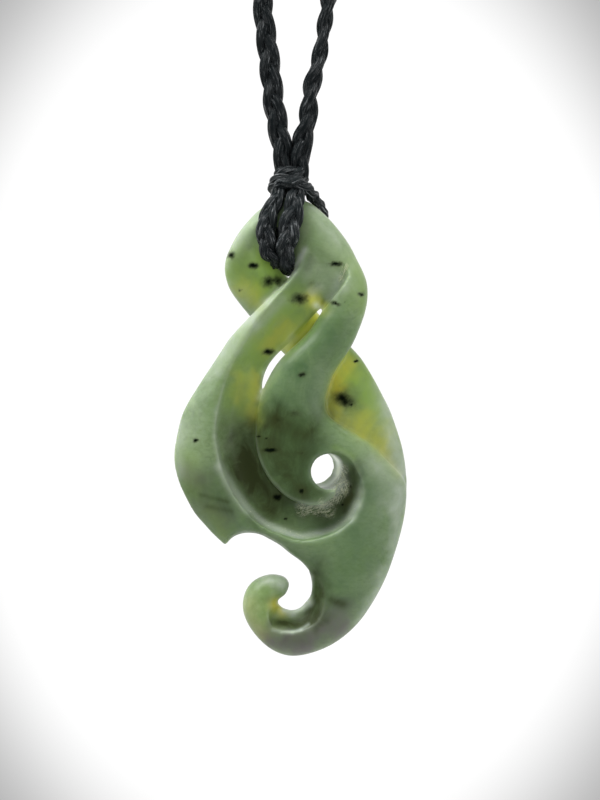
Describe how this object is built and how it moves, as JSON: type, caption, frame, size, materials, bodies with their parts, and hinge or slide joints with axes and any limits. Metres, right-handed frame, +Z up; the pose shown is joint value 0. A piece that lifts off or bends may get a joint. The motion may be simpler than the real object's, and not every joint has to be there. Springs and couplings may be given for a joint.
{
  "type": "greenstone twist pendant",
  "caption": "Carved greenstone twist with a curling hook and a pierced spiral, lashed to a plaited cord that hangs round the neck.",
  "frame": {"origin": "the lowest point of the underside of the neck knot, where the loop hangs", "axes": "+Z up along the hanging pendant, -Y toward the viewer of the carved face, +X to that viewer's right"},
  "size_m": [0.1222, 0.009, 0.3844],
  "materials": {
    "greenstone": "polished, slightly translucent",
    "waxed_cord": "waxed black thread"
  },
  "bodies": {
    "root": {"greenstone_twist": "greenstone", "lashing_loop_left": "waxed_cord", "lashing_loop_right": "waxed_cord", "lashing_strand": "waxed_cord", "lashing_wrap": "waxed_cord", "braid_left": "waxed_cord", "braid_right": "waxed_cord", "neck_knot": "waxed_cord"}
  },
  "joints": []
}
